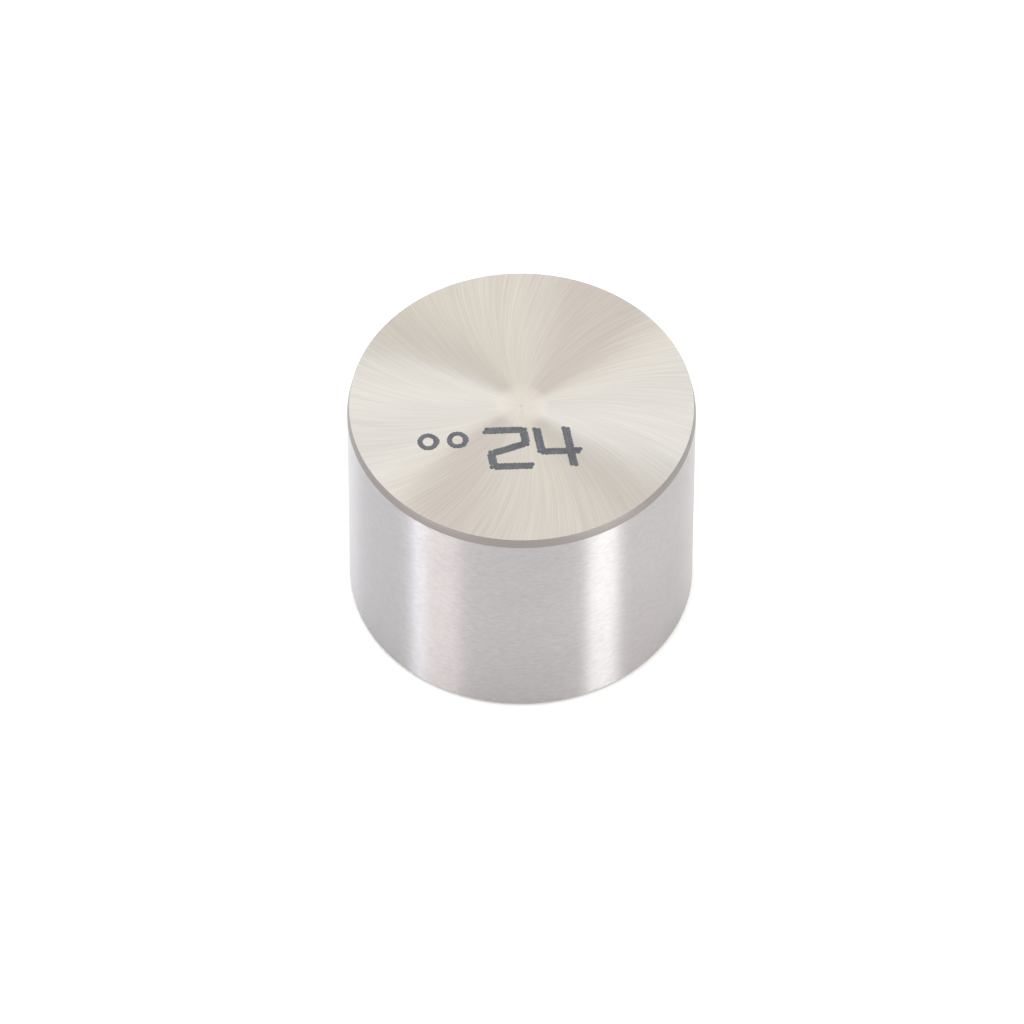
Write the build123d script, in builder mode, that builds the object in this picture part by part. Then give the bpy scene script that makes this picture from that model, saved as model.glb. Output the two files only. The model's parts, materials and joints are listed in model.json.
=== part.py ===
from build123d import *
from math import radians, tan
import os

os.makedirs("parts", exist_ok=True)

# Solid bucket tappet: a steel cup, cold forged in one piece, then turned, hardened and ground.
# Millimetres. The origin is the middle of the open end, and +Z points up through the crown.

# Outside
body_diameter = 31.0        # ground skirt, which slides in its guide bore
body_height = 23.5          # open end to crown face
crown_bevel_width = 0.175   # steep lead-in round the crown, measured inwards
crown_bevel_depth = 0.87    # the same lead-in, measured down the skirt
foot_chamfer = 0.3          # outer edge of the open end

# Inside of the skirt
skirt_wall = 1.5            # wall of the turned stretch
mouth_chamfer = 0.4         # inner edge of the open end
forged_height = 7.2         # drafted stretch between the turned bore and the crown
forged_draft = 3.0          # degrees, so the wall thickens towards the crown
corner_radius = 2.2         # skirt into crown

# Crown and stem pad
crown_thickness = 2.3       # crown plate round the pad
pad_diameter = 10.0         # boss that the valve stem pushes on
pad_height = 1.0            # how far the pad stands out of the crown plate
pad_root_radius = 0.5
pad_chamfer = 0.2

# Radii and levels that follow from these
body_radius = body_diameter / 2
bore_radius = body_radius - skirt_wall
forged_radius = bore_radius - forged_height * tan(radians(forged_draft))
pad_radius = pad_diameter / 2
plate_level = body_height - crown_thickness
pad_level = plate_level - pad_height
bore_depth = plate_level - forged_height

with BuildPart() as tappet_body:
    # Solid outer form, with the bevel under the crown and the broken lower edge
    with BuildSketch(Plane.XZ):
        with BuildLine():
            Polyline(
                (0, 0),
                (body_radius - foot_chamfer, 0),
                (body_radius, foot_chamfer),
                (body_radius, body_height - crown_bevel_depth),
                (body_radius - crown_bevel_width, body_height),
                (0, body_height),
                close=True,
            )
        make_face()
    revolve(axis=Axis.Z)

    # Hollow of the cup, from its mouth up the turned and drafted wall, then in to the pad
    with BuildSketch(Plane.XZ) as hollow:
        with BuildLine():
            Polyline(
                (0, 0),
                (bore_radius + mouth_chamfer, 0),
                (bore_radius, mouth_chamfer),
                (bore_radius, bore_depth),
                (forged_radius, plate_level),
                (pad_radius, plate_level),
                (pad_radius, pad_level + pad_chamfer),
                (pad_radius - pad_chamfer, pad_level),
                (0, pad_level),
                close=True,
            )
        make_face()
        # Both corners under the crown plate are rounded, the outer one wide against cracks
        fillet(hollow.vertices().group_by(Axis.Y)[-1].sort_by(Axis.X)[-1], corner_radius)
        fillet(hollow.vertices().group_by(Axis.Y)[-1].sort_by(Axis.X)[0], pad_root_radius)
    revolve(axis=Axis.Z, mode=Mode.SUBTRACT)

tappet_body.part.label = "tappet_body"
export_step(tappet_body.part, "parts/tappet_body.step")

print(f"skirt bore: radius {bore_radius:.2f}, straight from {mouth_chamfer:.2f} to {bore_depth:.2f}")
print(f"stem pad: radius {pad_radius - pad_chamfer:.2f}, face at {pad_level:.2f}")
print(f"volume: {tappet_body.part.volume:.1f} cubic millimetres")
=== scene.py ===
import bmesh
import bpy
import json
import math
from mathutils import Matrix, Vector


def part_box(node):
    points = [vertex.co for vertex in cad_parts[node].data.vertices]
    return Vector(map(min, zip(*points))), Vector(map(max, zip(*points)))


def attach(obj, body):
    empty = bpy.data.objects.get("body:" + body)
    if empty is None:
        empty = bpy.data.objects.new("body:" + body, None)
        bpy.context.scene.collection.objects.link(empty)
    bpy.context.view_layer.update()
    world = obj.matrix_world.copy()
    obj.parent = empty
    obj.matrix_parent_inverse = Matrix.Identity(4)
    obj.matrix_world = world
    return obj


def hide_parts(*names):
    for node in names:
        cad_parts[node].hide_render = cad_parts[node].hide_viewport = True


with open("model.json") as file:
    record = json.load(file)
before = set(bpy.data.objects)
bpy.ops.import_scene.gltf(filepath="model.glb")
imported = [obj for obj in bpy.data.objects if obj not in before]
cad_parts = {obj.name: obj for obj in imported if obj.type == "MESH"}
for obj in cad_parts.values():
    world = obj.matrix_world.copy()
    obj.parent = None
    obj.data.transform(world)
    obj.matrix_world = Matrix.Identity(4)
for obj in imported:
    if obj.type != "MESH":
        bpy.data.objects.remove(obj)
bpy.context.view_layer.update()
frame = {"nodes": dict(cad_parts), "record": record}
mm = 0.001
print("frame loaded:", ", ".join(frame["nodes"]))


# Helpers that every part of the scene shares

def addNode(tree, kind, inputs=None, **settings):
    # any node of a tree, with its settings, and its inputs by name or number as values or links
    item = tree.nodes.new(kind)
    for name, value in settings.items():
        setattr(item, name, value)
    for key, value in (inputs or {}).items():
        if isinstance(value, bpy.types.NodeSocket):
            tree.links.new(value, item.inputs[key])
        else:
            item.inputs[key].default_value = value
    return item


def addMesh(name, points, edges=(), faces=()):
    mesh = bpy.data.meshes.new(name)
    mesh.from_pydata(points, edges, faces)
    thing = bpy.data.objects.new(name, mesh)
    bpy.context.scene.collection.objects.link(thing)
    return thing


def linearColour(code):
    # sRGB hex to the linear values that Blender's sockets hold
    parts = [int(code[index:index + 2], 16) / 255 for index in (0, 2, 4)]
    return [part / 12.92 if part <= 0.04045 else ((part + 0.055) / 1.055) ** 2.4 for part in parts] + [1]


# Camera, from the crown's ellipse and the skirt's edges in the photograph

camera = {
    "elevation": 51.29,             # degrees above the horizon
    "side": -0.088,                 # degrees round the object from straight in front
    "distance": 0.8628,
    "aim": (-0.00083, 0, 0.00837),  # the object stands a little above the middle of the picture
    "roll": 0.12,
    "lens": 337.3,                  # a long lens, so the sides hardly converge
    "clipStart": 0.01,
}


def addCamera(view):
    data = bpy.data.cameras.new("photoCamera")
    data.lens = view["lens"]
    data.clip_start = view["clipStart"]
    eye = bpy.data.objects.new("photoCamera", data)
    rise, side = math.radians(view["elevation"]), math.radians(view["side"])
    back = Vector((-math.sin(side) * math.cos(rise), -math.cos(side) * math.cos(rise), math.sin(rise)))
    roll = Matrix.Rotation(math.radians(view["roll"]), 3, "Z")
    turn = (-back).to_track_quat("-Z", "Y").to_matrix() @ roll
    eye.matrix_world = Matrix.Translation(Vector(view["aim"]) + back * view["distance"]) @ turn.to_4x4()
    bpy.context.scene.collection.objects.link(eye)
    bpy.context.scene.camera = eye


addCamera(camera)
bpy.context.scene.view_settings.view_transform = "Standard"  # so that the greys come out as they are set
print("camera placed")


# Materials, each named for its steel and how its surface was made. A mark's size in them is in
# millimetres: round the axis, up along it, and out from it.

grainRadius = 10                    # millimetres from the axis, where the size round it is measured


def newMaterial(name):
    material = bpy.data.materials.new(name)
    material.use_nodes = True
    material.node_tree.nodes.clear()
    return material, material.node_tree


def finishMaterial(tree, inputs):
    shader = addNode(tree, "ShaderNodeBsdfPrincipled", inputs)
    addNode(tree, "ShaderNodeOutputMaterial", {"Surface": shader.outputs[0]})


def axisPlace(tree, bend=0):
    # the piece's own place in millimetres, its distance from the axis and its direction from the axis.
    # The direction turns by bend radians for each millimetre out, which straightens bent lines.
    place = addNode(tree, "ShaderNodeTexCoord").outputs["Object"]
    place = addNode(tree, "ShaderNodeMapping", {"Vector": place, "Scale": [1 / mm] * 3}).outputs[0]
    flat = addNode(tree, "ShaderNodeVectorMath", {
        0: place, 1: (1, 1, 0)}, operation="MULTIPLY").outputs[0]
    out = addNode(tree, "ShaderNodeVectorMath", {0: flat}, operation="LENGTH").outputs["Value"]
    direction = addNode(tree, "ShaderNodeVectorMath", {0: flat}, operation="NORMALIZE").outputs[0]
    turn = addNode(tree, "ShaderNodeMath", {0: out, 1: bend}, operation="MULTIPLY").outputs[0]
    direction = addNode(tree, "ShaderNodeVectorRotate", {
        "Vector": direction, "Angle": turn}, rotation_type="Z_AXIS").outputs[0]
    return place, out, direction


def steelGrain(tree, where, size, seed=0, detail=2, finerShare=0.6):
    # grain from 0 to 1, whose light and dark marks are as large as size says, with finer ones in them.
    # One step of the noise holds a light and a dark mark, so it is two marks long.
    place, out, direction = where
    perRound, perUp, perOut = [0.5 / length for length in size]
    wide = addNode(tree, "ShaderNodeVectorMath", {
        0: direction, 1: [grainRadius * perRound] * 3}, operation="MULTIPLY").outputs[0]
    high = addNode(tree, "ShaderNodeVectorMath", {
        0: place, 1: (0, 0, perUp)}, operation="MULTIPLY").outputs[0]
    spot = addNode(tree, "ShaderNodeVectorMath", {0: wide, 1: high}, operation="ADD").outputs[0]
    deep = addNode(tree, "ShaderNodeMath", {
        0: out, 1: perOut, 2: seed}, operation="MULTIPLY_ADD").outputs[0]
    noise = addNode(tree, "ShaderNodeTexNoise", {
        "Vector": spot, "W": deep, "Scale": 1, "Detail": detail, "Roughness": finerShare},
        noise_dimensions="4D").outputs[0]
    # nearly all of the noise lies in its middle half, which is spread from 0 to 1
    return addNode(tree, "ShaderNodeMapRange", {
        "Value": noise, "From Min": 0.25, "From Max": 0.75}).outputs[0]


def workedSteel(tree, look, fine, broad, traits=None):
    # colour, dullness and a shallow relief that all follow the marks of the tool
    tone = addNode(tree, "ShaderNodeMix", {
        0: look["broadShare"], 2: fine, 3: broad}, data_type="FLOAT").outputs[0]
    colour = addNode(tree, "ShaderNodeMix", {
        0: tone, 6: linearColour(look["dark"]), 7: linearColour(look["light"])},
        data_type="RGBA").outputs[2]
    least, most = look["roughness"]
    roughness = addNode(tree, "ShaderNodeMapRange", {
        "Value": fine, "To Min": least, "To Max": most}).outputs[0]
    relief = addNode(tree, "ShaderNodeBump", {
        "Height": fine, "Distance": look["relief"] * mm}).outputs[0]
    finishMaterial(tree, {
        "Base Color": colour, "Metallic": 1, "Roughness": roughness, "Normal": relief,
        **(traits or {})})


crownFinish = {
    "light": "C7C0B7",
    "dark": "B4ACA5",
    "broadShare": 0.2,
    "roughness": (0.34, 0.38),
    "anisotropy": 1.0,
    "relief": 0.003,
    "lines": (0.05, 1, 3),          # the real lines are finer, and are drawn so that they show
    "sectors": (0.9, 1, 14),
    "bend": math.radians(15) / 15.5,  # a line has turned by 15 degrees when it reaches the rim
    "sway": math.radians(3.5),      # how far a whole sector of lines strays from its run
    "stray": math.radians(2),       # and how far each line does
    "crossed": (0.2, 2.6),          # nearer the middle than this the lines cross and lose their order
}


def rotaryGroundSteel(look):
    # ground under a cup wheel on a turning table: fine arcs run out from the middle to the rim,
    # so the light fans out into soft bright and dark sectors
    material, tree = newMaterial("rotaryGroundSteel")
    where = axisPlace(tree, look["bend"])
    fine = steelGrain(tree, where, look["lines"], detail=1)
    broad = steelGrain(tree, where, look["sectors"], seed=5)
    # the lines themselves run at the opposite turn, and the light smears across them
    out, direction = axisPlace(tree, -look["bend"])[1:]
    across = addNode(tree, "ShaderNodeVectorMath", {
        0: (0, 0, 1), 1: direction}, operation="CROSS_PRODUCT").outputs[0]
    sway = addNode(tree, "ShaderNodeMapRange", {
        "Value": broad, "To Min": -look["sway"] / 2, "To Max": look["sway"] / 2}).outputs[0]
    stray = addNode(tree, "ShaderNodeMapRange", {
        "Value": fine, "To Min": -look["stray"] / 2, "To Max": look["stray"] / 2}).outputs[0]
    turn = addNode(tree, "ShaderNodeMath", {0: sway, 1: stray}, operation="ADD").outputs[0]
    across = addNode(tree, "ShaderNodeVectorRotate", {
        "Vector": across, "Angle": turn}, rotation_type="Z_AXIS").outputs[0]
    nearest, farthest = look["crossed"]
    order = addNode(tree, "ShaderNodeMapRange", {
        "Value": out, "From Min": nearest, "From Max": farthest, "To Max": look["anisotropy"]},
        interpolation_type="SMOOTHSTEP").outputs[0]
    workedSteel(tree, look, fine, broad, {"Anisotropic": order, "Tangent": across})
    return material


skirtFinish = {
    "light": "BAB5B4",
    "dark": "A4A09E",
    "broadShare": 0.2,
    "roughness": (0.31, 0.37),
    "anisotropy": 1.0,
    "relief": 0.0005,
    "lines": (0.2, 0.1, 1),         # the real ones are finer, and are drawn so that they show
    "bands": (5, 3.5, 1),
}


def centrelessGroundSteel(look):
    # ground between wheels as it turned: lines run round the skirt, so light smears up and down it
    material, tree = newMaterial("centrelessGroundSteel")
    where = axisPlace(tree)
    fine = steelGrain(tree, where, look["lines"])
    broad = steelGrain(tree, where, look["bands"], seed=3)
    up = addNode(tree, "ShaderNodeCombineXYZ", {"Z": 1}).outputs[0]
    workedSteel(tree, look, fine, broad, {"Anisotropic": look["anisotropy"], "Tangent": up})
    return material


turnedFinishes = {
    # the bevel was turned before the steel was hardened, and stayed darker than the faces that were
    # ground after it.
    # The foot was turned too, but its dark olive colour is painted shade: a painted reflection of the
    # shadow where it stands on the floor
    "bevel": {
        "name": "turnedBevelSteel", "light": "8B8480", "dark": "7F7975", "broadShare": 0.5,
        "roughness": (0.36, 0.46), "relief": 0.001, "rings": (12, 0.12, 0.12), "patches": (3, 1, 1),
    },
    # the foot's light and dark colours are painted shade, the dark reflection of the floor's contact
    # shadow painted onto its chamfer
    "foot": {
        "name": "turnedFootSteel", "light": "96907F", "dark": "827C6C", "broadShare": 0.5,
        "roughness": (0.38, 0.48), "relief": 0.001, "rings": (12, 0.12, 0.12), "patches": (3, 1, 1),
    },
    "bore": {
        "name": "turnedBoreSteel", "light": "C1BCB5", "dark": "ABA69F", "broadShare": 0.35,
        "roughness": (0.34, 0.42), "relief": 0.006, "rings": (30, 0.16, 0.16), "patches": (6, 3, 3),
    },
}


def turnedSteel(look):
    # cut with a pointed tool on a lathe: fine rings at the tool's feed, even in colour
    material, tree = newMaterial(look["name"])
    where = axisPlace(tree)
    fine = steelGrain(tree, where, look["rings"])
    broad = steelGrain(tree, where, look["patches"], seed=7)
    workedSteel(tree, look, fine, broad)
    return material


forgedFinish = {
    "light": "77726C",
    "dark": "57534F",
    "broadShare": 0.5,
    "roughness": (0.5, 0.68),
    "relief": 0.02,
    "pimples": (0.45, 0.3, 0.3),
    "stains": (3, 2, 2),
}


def forgedSteel(look):
    # as it came from the press and the furnace: a thin dark scale, faintly pebbled and stained
    material, tree = newMaterial("forgedScaleSteel")
    where = axisPlace(tree)
    fine = steelGrain(tree, where, look["pimples"])
    broad = steelGrain(tree, where, look["stains"], seed=2)
    workedSteel(tree, look, fine, broad)
    return material


padFinish = {
    "light": "CBC7C4",
    "dark": "B5B1AE",
    "broadShare": 0.3,
    "roughness": (0.2, 0.3),
    "relief": 0.001,
    "rings": (20, 1, 0.1),
    "patches": (2, 1, 1.5),
}


def faceGroundSteel(look):
    # the pad's end, ground to its height by a small wheel: bright, with very fine rings
    material, tree = newMaterial("faceGroundSteel")
    where = axisPlace(tree)
    fine = steelGrain(tree, where, look["rings"])
    broad = steelGrain(tree, where, look["patches"], seed=9)
    workedSteel(tree, look, fine, broad)
    return material


markFinish = {
    "light": "7A7C7F",
    "dark": "58585B",
    "broadShare": 0.6,
    "roughness": (0.5, 0.7),
    "relief": 0.01,
    "grit": (0.12, 0.1, 0.12),
    "patches": (0.6, 1, 0.6),
}


def peenedSteel(look):
    # struck with a hard point, pit beside pit: the crushed steel has gone a dull slate grey
    material, tree = newMaterial("peenedSteel")
    where = axisPlace(tree)
    fine = steelGrain(tree, where, look["grit"])
    broad = steelGrain(tree, where, look["patches"], seed=4)
    workedSteel(tree, look, fine, broad)
    return material


finishes = {
    "crown": rotaryGroundSteel(crownFinish),
    "bevel": turnedSteel(turnedFinishes["bevel"]),
    "skirt": centrelessGroundSteel(skirtFinish),
    "foot": turnedSteel(turnedFinishes["foot"]),
    "bore": turnedSteel(turnedFinishes["bore"]),
    "forged": forgedSteel(forgedFinish),
    "pad": faceGroundSteel(padFinish),
    "mark": peenedSteel(markFinish),
}
finishNames = list(finishes)
print("materials made:", len(finishes))


# Geometry Nodes helpers

def newTree(name, sizes):
    # an empty tree with a mesh in and out, and its named inputs as {"Name": "socket type"}
    tree = bpy.data.node_groups.new(name, "GeometryNodeTree")
    tree.interface.new_socket("Geometry", in_out="INPUT", socket_type="NodeSocketGeometry")
    tree.interface.new_socket("Geometry", in_out="OUTPUT", socket_type="NodeSocketGeometry")
    for size, kind in sizes.items():
        tree.interface.new_socket(size, in_out="INPUT", socket_type=kind)
    return tree, addNode(tree, "NodeGroupInput").outputs


def growMesh(thing, tree, values):
    # runs a tree on an object with its inputs set, and keeps the result as a plain mesh
    modifier = thing.modifiers.new(tree.name, "NODES")
    modifier.node_group = tree
    for item in tree.interface.items_tree:
        if item.in_out == "INPUT" and item.name in values:
            modifier[item.identifier] = values[item.name]
    grown = bpy.data.meshes.new_from_object(thing.evaluated_get(bpy.context.evaluated_depsgraph_get()))
    thing.modifiers.remove(modifier)
    thing.data = grown


# The cup: its half section, swept round the axis by Geometry Nodes. The main sizes are read from
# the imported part, and the others are the same as its source has.

lowCorner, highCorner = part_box("tappet_body")
mounts = {mount["name"]: mount for mount in frame["record"]["mounts"]}

cupSize = {
    "radius": (highCorner.x - lowCorner.x) / 2,
    "height": highCorner.z,
    "boreRadius": mounts["skirt_bore"]["dims"]["r_mm"] * mm,
    "padLevel": mounts["stem_pad"]["pos_m"][2],
    "crownBevelWidth": 0.175 * mm,
    "crownBevelDepth": 0.87 * mm,
    "footChamfer": 0.3 * mm,
    "mouthChamfer": 0.4 * mm,
    "forgedHeight": 7.2 * mm,       # drafted wall between the turned bore and the crown
    "forgedDraft": math.radians(3),
    "cornerRadius": 2.2 * mm,
    "crownThickness": 2.3 * mm,
    "padRadius": 5.0 * mm,
    "padRootRadius": 0.5 * mm,
    "padChamfer": 0.2 * mm,
    "pipRadius": 0.2 * mm,          # shallow dimple where the grinding lines meet
    "pipFloorRadius": 0.12 * mm,
    "pipDepth": 0.012 * mm,
    "brokenEdge": 0.02 * mm,        # what tumbling leaves of the ground edges
    "edgeTurn": math.radians(22),   # about how far one face turns, on those and on the wide corners
    "cornerTurn": math.radians(7),
    "stepsAround": 240,
    "sweepRadius": 1 * mm,          # of the circle that the section is swept round
    "seamGap": 0.0005 * mm,         # closer points than this are joined
    "sharpTurn": math.radians(32),  # an edge that turns by more than this stays sharp
}


def roundCorner(before, corner, after, radius, faceTurn):
    # points of the arc that rounds one corner of the section, which each face turns by about faceTurn
    if not radius:
        return [corner]
    back, on = (before - corner).normalized(), (after - corner).normalized()
    halfAngle = back.angle(on) / 2
    centre = corner + (back + on).normalized() * radius / math.sin(halfAngle)
    start = corner + back * radius / math.tan(halfAngle) - centre
    turn = math.pi - 2 * halfAngle
    steps = max(1, round(turn / faceTurn))
    if back.x * on.y - back.y * on.x > 0:
        turn = -turn
    return [centre + Matrix.Rotation(turn * step / steps, 2) @ start for step in range(steps + 1)]


def cupSection(size):
    # the section as runs from the crown's middle, down the outside and up inside to the pad's middle,
    # each with the name of its finish. A corner is its radius, its height, its rounding and the
    # finish that follows it.
    radius, height, bore = size["radius"], size["height"], size["boreRadius"]
    broken = size["brokenEdge"]
    plate = height - size["crownThickness"]
    forged = bore - size["forgedHeight"] * math.tan(size["forgedDraft"])
    pad, padFace = size["padRadius"], size["padLevel"]
    pipFloor = height - size["pipDepth"]
    corners = [
        (0, pipFloor, 0, "bore"),
        (size["pipFloorRadius"], pipFloor, 0, "bore"),
        (size["pipRadius"], height, 0, "crown"),
        (radius - size["crownBevelWidth"], height, broken, "bevel"),
        (radius, height - size["crownBevelDepth"], broken, "skirt"),
        (radius, size["footChamfer"], broken, "foot"),
        (radius - size["footChamfer"], 0, broken, "foot"),
        (bore + size["mouthChamfer"], 0, broken, "foot"),
        (bore, size["mouthChamfer"], broken, "bore"),
        (bore, plate - size["forgedHeight"], broken, "forged"),
        (forged, plate, size["cornerRadius"], "forged"),
        (pad, plate, size["padRootRadius"], "forged"),
        (pad, padFace + size["padChamfer"], broken, "forged"),
        (pad - size["padChamfer"], padFace, broken, "pad"),
        (0, padFace, 0, "pad"),
    ]
    places = [Vector(corner[:2]) for corner in corners]
    arcs = [[places[0]]]
    for before, place, after, corner in zip(places, places[1:], places[2:], corners[1:]):
        faceTurn = size["edgeTurn"] if corner[2] == broken else size["cornerTurn"]
        arcs.append(roundCorner(before, place, after, corner[2], faceTurn))
    arcs.append([places[-1]])
    return [(corner[3], arc + following[:1]) for corner, arc, following in zip(corners, arcs, arcs[1:])]


def sectionObject(size):
    # one open polyline for each run, with the number of its finish on every point
    points, edges, numbers = [], [], []
    for finish, run in cupSection(size):
        first = len(points)
        points += [(place.x, 0, place.y) for place in run]
        edges += [(first + step, first + step + 1) for step in range(len(run) - 1)]
        numbers += [finishNames.index(finish)] * len(run)
    section = addMesh("tappet_cup", points, edges)
    section.data.attributes.new("finish", "INT", "POINT").data.foreach_set("value", numbers)
    return section


def revolveTree():
    sizes = {
        "Steps Around": "NodeSocketInt",
        "Sweep Radius": "NodeSocketFloat",
        "Seam Gap": "NodeSocketFloat",
        **{finish: "NodeSocketMaterial" for finish in finishNames},
    }
    tree, given = newTree("revolvedCup", sizes)
    # the section is laid flat as a profile, set in by the sweep circle's own radius
    section = addNode(tree, "GeometryNodeMeshToCurve", {"Mesh": given["Geometry"]}).outputs[0]
    place = addNode(tree, "GeometryNodeInputPosition").outputs[0]
    split = addNode(tree, "ShaderNodeSeparateXYZ", {0: place}).outputs
    setIn = addNode(tree, "ShaderNodeMath", {
        0: split["X"], 1: given["Sweep Radius"]}, operation="SUBTRACT").outputs[0]
    upright = addNode(tree, "ShaderNodeMath", {0: split["Z"], 1: -1}, operation="MULTIPLY").outputs[0]
    flat = addNode(tree, "ShaderNodeCombineXYZ", {"X": setIn, "Y": upright}).outputs[0]
    profile = addNode(tree, "GeometryNodeSetPosition", {"Geometry": section, "Position": flat}).outputs[0]
    circle = addNode(tree, "GeometryNodeCurvePrimitiveCircle", {
        "Resolution": given["Steps Around"], "Radius": given["Sweep Radius"]}).outputs["Curve"]
    swept = addNode(tree, "GeometryNodeCurveToMesh", {
        "Curve": circle, "Profile Curve": profile}).outputs[0]
    # the finishes go on while each run of the section is still a strip of its own
    number = addNode(tree, "GeometryNodeInputNamedAttribute", {
        "Name": "finish"}, data_type="INT").outputs[0]
    dressed = addNode(tree, "GeometryNodeSetMaterial", {
        "Geometry": swept, "Material": given[finishNames[0]]}).outputs[0]
    for index, finish in enumerate(finishNames[1:], start=1):
        chosen = addNode(tree, "FunctionNodeCompare", {
            2: number, 3: index}, data_type="INT", operation="EQUAL").outputs[0]
        dressed = addNode(tree, "GeometryNodeSetMaterial", {
            "Geometry": dressed, "Selection": chosen, "Material": given[finish]}).outputs[0]
    closed = addNode(tree, "GeometryNodeMergeByDistance", {
        "Geometry": dressed, "Distance": given["Seam Gap"]}).outputs[0]
    result = addNode(tree, "GeometryNodeRealizeInstances", {"Geometry": closed}).outputs[0]
    addNode(tree, "NodeGroupOutput", {"Geometry": result})
    return tree


def dissolvePoles(thing):
    # the dimple's floor and the pad's face become one flat face each, where slivers met on the axis
    solid = bmesh.new()
    solid.from_mesh(thing.data)
    poles = [point for point in solid.verts if point.co.xy.length < cupSize["seamGap"]]
    bmesh.ops.dissolve_verts(solid, verts=poles)
    bmesh.ops.recalc_face_normals(solid, faces=solid.faces)
    solid.to_mesh(thing.data)
    solid.free()


cup = sectionObject(cupSize)
growMesh(cup, revolveTree(), {
    "Steps Around": cupSize["stepsAround"],
    "Sweep Radius": cupSize["sweepRadius"],
    "Seam Gap": cupSize["seamGap"],
    **finishes,
})
dissolvePoles(cup)
print("cup revolved:", len(cup.data.polygons), "faces")


# The mark on the crown: a plain number and two rings, peened as close rows of small pits

markSize = {
    "number": "24",
    "cell": (3.3 * mm, 4.1 * mm),       # width and height of a digit between the middles of its strokes
    "corners": (-2.5 * mm, 2.0 * mm),   # left of each digit
    "baseline": -6.9 * mm,
    "tilt": math.radians(2.5),          # the whole line of the mark
    "lean": math.tan(math.radians(8)),  # uprights lean back
    # across, up and radius of each ring, in millimetres
    "rings": ((-8.2, -3.85, 0.72), (-5.6, -3.75, 0.72)),
    "ringSteps": 24,
}

# how close and how wide the pits are: a digit's stroke is two rows of them, a ring is one
digitPits = {"Pitch": 0.3 * mm, "Row Spacing": 0.34 * mm, "Pit Radius": 0.22 * mm}
ringPits = {"Pitch": 0.5 * mm, "Row Spacing": 0.0, "Pit Radius": 0.25 * mm}
allPits = {"Pit Sides": 18, "Pit Floor": 0.1 * mm, "Depth": 0.08 * mm, "Wander": 0.02 * mm, "Seed": 4}

# strokes of each digit, in shares of its cell
digitStrokes = {
    "2": [[(0, 1), (1, 1), (1, 0.62), (0, 0.36), (0, 0), (1, 0)]],
    "4": [[(0, 1), (0, 0.38), (1, 0.38)], [(0.78, 1), (0.78, 0)]],
}


def strokeObject(lines, size, level):
    # lines of points as one mesh of polylines that lies on the crown, tilted with the whole mark
    turn = Matrix.Rotation(size["tilt"], 3, "Z")
    middle = Vector((0, size["baseline"] + size["cell"][1] / 2, 0))
    points, edges = [], []
    for line in lines:
        edges += [(len(points) + step, len(points) + step + 1) for step in range(len(line) - 1)]
        points += [turn @ (Vector((across, up, 0)) - middle) + middle for across, up in line]
    return addMesh("markStrokes", [(point.x, point.y, level) for point in points], edges)


def digitLines(size):
    wide, high = size["cell"]
    lean, baseline = size["lean"], size["baseline"]
    return [[(left + across * wide - up * high * lean, baseline + up * high) for across, up in stroke]
            for left, digit in zip(size["corners"], size["number"]) for stroke in digitStrokes[digit]]


def ringLines(size):
    turns = [2 * math.pi * step / size["ringSteps"] for step in range(size["ringSteps"] + 1)]
    return [[((x + radius * math.cos(turn)) * mm, (y + radius * math.sin(turn)) * mm) for turn in turns]
            for x, y, radius in size["rings"]]


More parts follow.
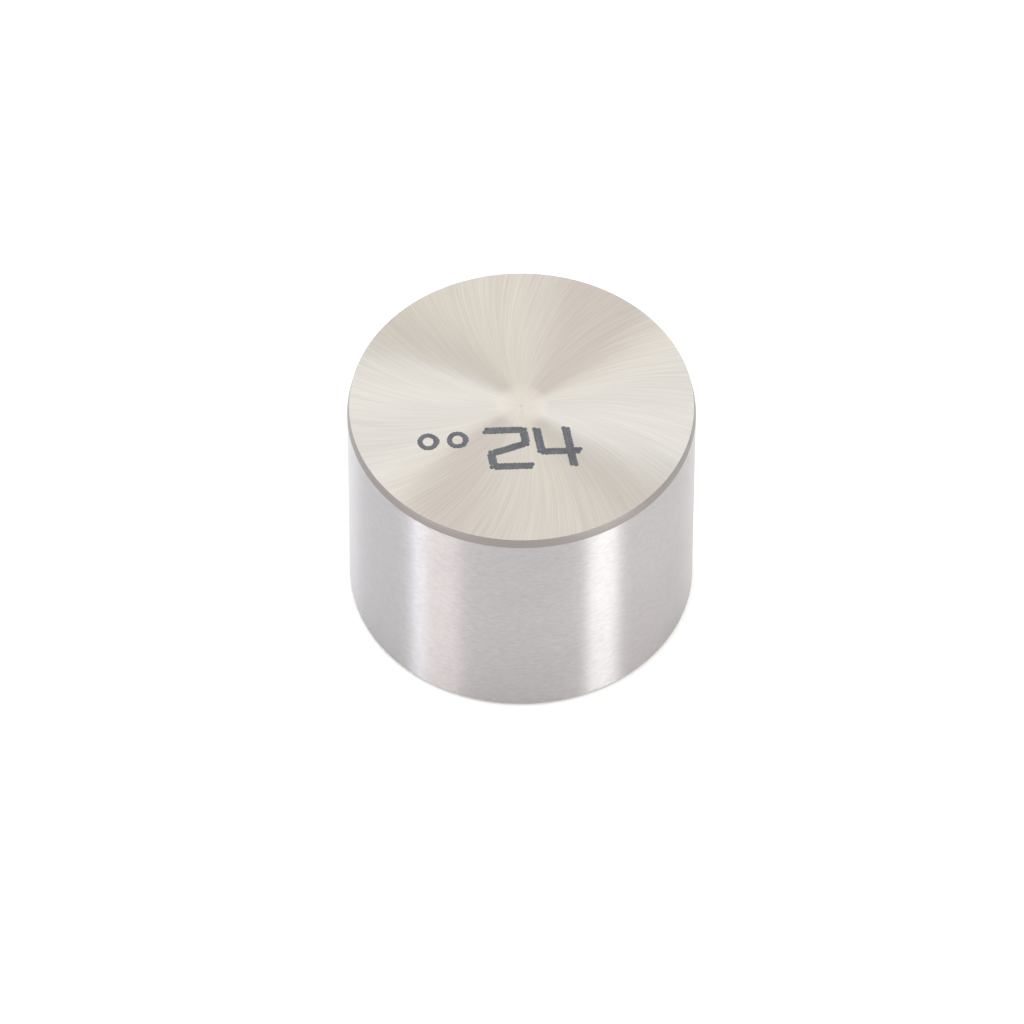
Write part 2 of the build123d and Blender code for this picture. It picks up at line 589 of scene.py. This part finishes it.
def peenTree():
    sizes = {
        "Strokes": "NodeSocketObject",
        "Mark Finish": "NodeSocketMaterial",
        "Seed": "NodeSocketInt",
        "Pit Sides": "NodeSocketInt",
    }
    for length in ("Pitch", "Row Spacing", "Pit Radius", "Pit Floor", "Depth", "Wander"):
        sizes[length] = "NodeSocketFloat"
    tree, given = newTree("peenedMark", sizes)
    lines = addNode(tree, "GeometryNodeObjectInfo", {"Object": given["Strokes"]}).outputs["Geometry"]
    lines = addNode(tree, "GeometryNodeMeshToCurve", {"Mesh": lines}).outputs[0]
    stops = addNode(tree, "GeometryNodeResampleCurve", {
        "Curve": lines, "Length": given["Pitch"]}, mode="LENGTH").outputs[0]
    # a pit is a blunt cone that stands as far above the crown as it goes in, so that it is as wide
    # as its radius says at the crown, half way up
    twice = addNode(tree, "ShaderNodeMath", {
        0: given["Pit Radius"], 1: 2}, operation="MULTIPLY").outputs[0]
    top = addNode(tree, "ShaderNodeMath", {
        0: twice, 1: given["Pit Floor"]}, operation="SUBTRACT").outputs[0]
    tall = addNode(tree, "ShaderNodeMath", {0: given["Depth"], 1: 2}, operation="MULTIPLY").outputs[0]
    pit = addNode(tree, "GeometryNodeMeshCone", {
        "Vertices": given["Pit Sides"],
        "Radius Bottom": given["Pit Floor"],
        "Radius Top": top,
        "Depth": tall,
    }).outputs["Mesh"]
    pit = addNode(tree, "GeometryNodeSetMaterial", {
        "Geometry": pit, "Material": given["Mark Finish"]}).outputs[0]
    along = addNode(tree, "GeometryNodeInputTangent").outputs[0]
    turned = addNode(tree, "FunctionNodeAlignRotationToVector", {
        "Vector": along}, axis="X", pivot_axis="Z").outputs[0]
    step = addNode(tree, "ShaderNodeCombineXYZ", {
        "X": given["Pitch"], "Y": given["Row Spacing"], "Z": given["Depth"]}).outputs[0]
    far = addNode(tree, "ShaderNodeCombineXYZ", {"X": given["Wander"], "Y": given["Wander"]}).outputs[0]
    near = addNode(tree, "ShaderNodeVectorMath", {
        0: far, 1: (-1, -1, 0)}, operation="MULTIPLY").outputs[0]
    # two rows, half a pitch apart along the stroke, whose pits wander a little as a hand's would
    cutters = []
    for row, side in enumerate((0.5, -0.5)):
        offset = addNode(tree, "ShaderNodeVectorMath", {
            0: step, 1: (side / 2, side, -1)}, operation="MULTIPLY").outputs[0]
        shifted = addNode(tree, "GeometryNodeTransform", {
            "Geometry": pit, "Translation": offset}).outputs[0]
        seed = addNode(tree, "ShaderNodeMath", {0: given["Seed"], 1: row}, operation="ADD").outputs[0]
        drift = addNode(tree, "FunctionNodeRandomValue", {
            0: near, 1: far, "Seed": seed}, data_type="FLOAT_VECTOR").outputs[0]
        wandered = addNode(tree, "GeometryNodeSetPosition", {
            "Geometry": stops, "Offset": drift}).outputs[0]
        cutters.append(addNode(tree, "GeometryNodeInstanceOnPoints", {
            "Points": wandered, "Instance": shifted, "Rotation": turned}).outputs[0])
    cut = addNode(tree, "GeometryNodeMeshBoolean", {
        "Mesh 1": given["Geometry"]}, operation="DIFFERENCE", solver="MANIFOLD")
    for cutter in cutters:
        tree.links.new(cutter, cut.inputs["Mesh 2"])
    result = addNode(tree, "GeometryNodeRealizeInstances", {"Geometry": cut.outputs["Mesh"]}).outputs[0]
    addNode(tree, "NodeGroupOutput", {"Geometry": result})
    return tree


pits = peenTree()
for lines, spacing in ((digitLines(markSize), digitPits), (ringLines(markSize), ringPits)):
    strokes = strokeObject(lines, markSize, cupSize["height"])
    growMesh(cup, pits, {"Strokes": strokes, "Mark Finish": finishes["mark"], **spacing, **allPits})
    bpy.data.objects.remove(strokes)
print("mark peened:", len(cup.data.polygons), "faces")


def smoothCup(thing):
    # smooth round the cup and flat on its faces: sharp where it turns by more than the broken edges do,
    # and where one finish meets another
    thing.data.shade_smooth()
    thing.data.set_sharp_from_angle(angle=cupSize["sharpTurn"])
    solid = bmesh.new()
    solid.from_mesh(thing.data)
    for edge in solid.edges:
        if len({face.material_index for face in edge.link_faces}) > 1:
            edge.smooth = False
    solid.to_mesh(thing.data)
    solid.free()
    weighted = thing.modifiers.new("weightedNormals", "WEIGHTED_NORMAL")
    weighted.keep_sharp = True
    weighted.weight = 100               # the large flat faces rule, so that they stay flat
    finished = bpy.data.meshes.new_from_object(thing.evaluated_get(bpy.context.evaluated_depsgraph_get()))
    thing.modifiers.remove(weighted)
    thing.data = finished


smoothCup(cup)
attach(cup, "root")
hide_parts("tappet_body")


# Floor, and a plain studio of soft lights

floorLook = {
    "half": 1.6,
    "level": -0.01 * mm,            # just under the foot, so that the two don't flicker from below
    "colour": "FBFBFA",
    "roughness": 0.7,
}


def addFloor(look):
    half, level = look["half"], look["level"]
    corners = [(-half, -half, level), (half, -half, level), (half, half, level), (-half, half, level)]
    floor = addMesh("studioFloor", corners, faces=[(0, 1, 2, 3)])
    material, tree = newMaterial("paintedFloor")
    finishMaterial(tree, {"Base Color": linearColour(look["colour"]), "Roughness": look["roughness"]})
    floor.data.materials.append(material)


addFloor(floorLook)

studio = {
    "ambient": ("FBFBFF", 1.172),   # colour and strength
    "reach": 0.6,                   # metres from the foot to each light
    # soft boxes: degrees round from the camera's side, degrees up, width and height in metres,
    # watts and colour
    "lights": {
        "overhead": (-151, 80, 0.34, 0.33, 0.556, "DEF1FF"),
        "right": (45, 3, 0.187, 0.055, 1.36, "F8FEFF"),
        "rightHigh": (45, 60, 0.25, 0.25, 0.346, "FFFDEF"),
        "sideRight": (74, 30, 0.3, 0.3, 0.266, "FFF3EA"),
        "left": (-47, 3, 0.3, 0.055, 0.934, "FFEAEA"),
        "leftHigh": (-47, 55, 0.25, 0.2, 0.247, "FFF6F5"),
        "leftStrip": (-58, 16, 0.05, 0.24, 0.556, "CCEAFF"),
        "back": (-163, 42, 0.358, 0.32, 0.188, "FFFFDE"),
        "backRight": (144, 20, 0.84, 0.42, 0.661, "F3FFE6"),
        "backLeft": (-130, 14, 0.56, 0.28, 1.25, "E6F0FF"),
    },
}


def addStudio(look):
    world = bpy.data.worlds.new("studioAmbient")
    world.use_nodes = True
    colour, strength = look["ambient"]
    background = world.node_tree.nodes["Background"]
    background.inputs["Color"].default_value = linearColour(colour)
    background.inputs["Strength"].default_value = strength
    bpy.context.scene.world = world
    for name, (bearing, rise, width, height, watts, colour) in look["lights"].items():
        data = bpy.data.lights.new(name, "AREA")
        data.shape = "RECTANGLE"
        data.size = width
        data.size_y = height
        data.energy = watts
        data.color = linearColour(colour)[:3]
        lamp = bpy.data.objects.new(name, data)
        turn, lift = math.radians(bearing), math.radians(rise)
        level = math.cos(lift)
        toLight = Vector((math.sin(turn) * level, -math.cos(turn) * level, math.sin(lift)))
        lamp.location = toLight * look["reach"]
        lamp.rotation_euler = toLight.to_track_quat("Z", "Y").to_euler()
        lamp.visible_camera = False
        bpy.context.scene.collection.objects.link(lamp)


addStudio(studio)
print("studio lit:", len(studio["lights"]), "lights")
